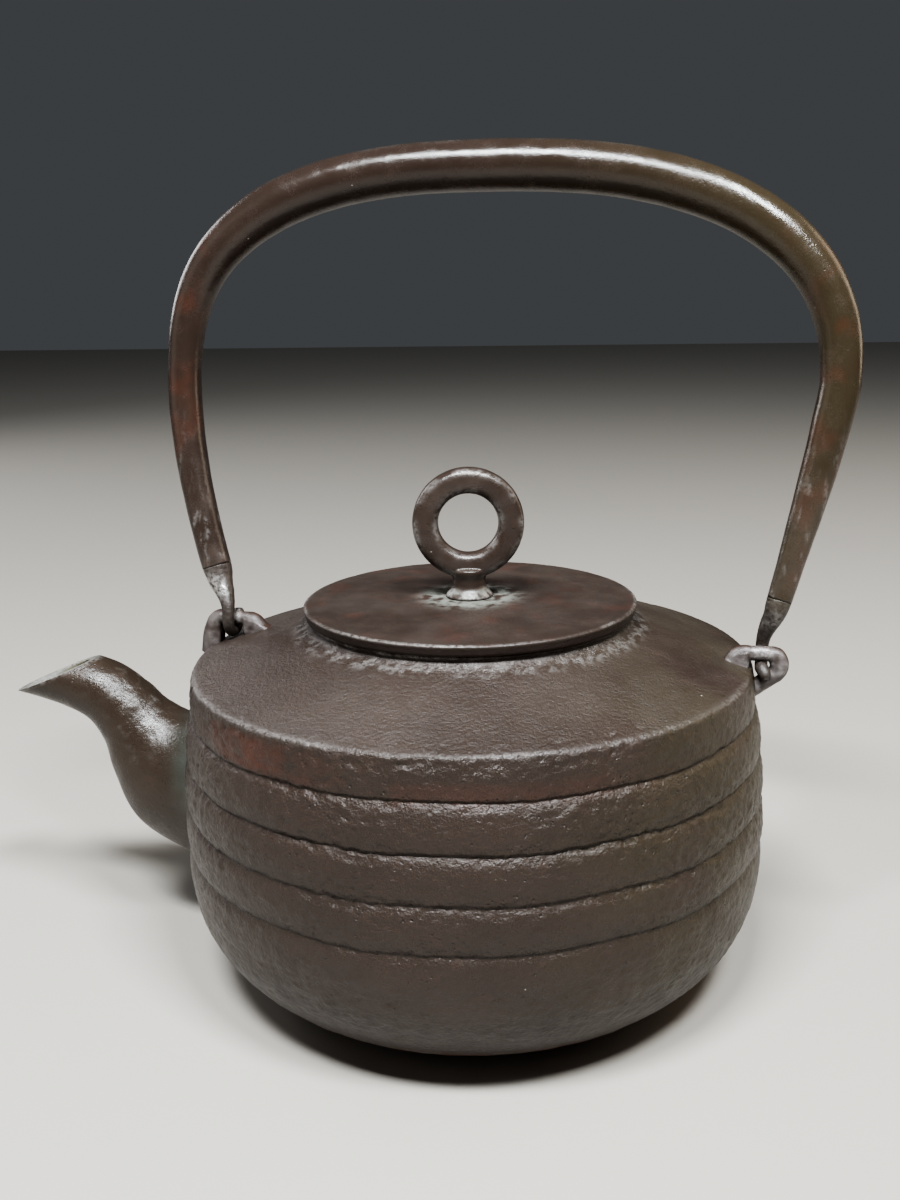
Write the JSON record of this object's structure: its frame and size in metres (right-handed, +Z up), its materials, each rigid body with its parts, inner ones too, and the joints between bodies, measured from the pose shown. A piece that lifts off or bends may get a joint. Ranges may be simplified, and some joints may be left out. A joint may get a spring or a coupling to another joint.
{
  "type": "cast iron kettle",
  "caption": "Round ribbed cast iron kettle with a gooseneck spout, a flat lift-off lid with a ring knob, and a tall hollow bail handle hooked to bar lugs on the shoulder.",
  "frame": {"origin": "middle of the flat foot of the kettle body, on the surface it stands on", "axes": "+Z up along the body's axis, -X towards the spout, +X towards the rear lug, so +Y is to the left seen from the rear lug looking at the spout"},
  "size_m": [0.2408, 0.1602, 0.2261],
  "materials": {
    "cast_body": "brown-black patina, satin, grainy as cast",
    "cast_spout": "brown-black patina, satin, brushed, worn bright at the lip",
    "lug_iron": "worn grey-brown iron",
    "cast_lid": "brown-black patina, satin, fine brushed marks",
    "knob_metal": "dark polished patina with a worn grey-green foot",
    "washer_iron": "dull dark iron",
    "handle_iron": "smooth dark brown lacquered sheet iron",
    "hook_iron": "dark forged iron, rubbed where it bears on the lug"
  },
  "bodies": {
    "kettle": {"kettle_body": "cast_body", "spout": "cast_spout", "front_lug": "lug_iron", "rear_lug": "lug_iron"},
    "handle": {"handle_tube": "handle_iron", "front_hook": "hook_iron", "rear_hook": "hook_iron"},
    "lid": {"lid": "cast_lid", "lid_knob": "knob_metal", "knob_washer": "washer_iron"}
  },
  "joints": [
    {"name": "handle_swing", "type": "hinge", "parent": "kettle", "child": "handle", "pos_m": [0.0044, 0, 0.0953], "axis": [0.9996, 0, -0.0284], "range_deg": [-80, 100]},
    {"name": "lid_lift", "type": "slide", "parent": "kettle", "child": "lid", "axis": [0, 0, 1], "range_m": [0, 0.05]}
  ]
}
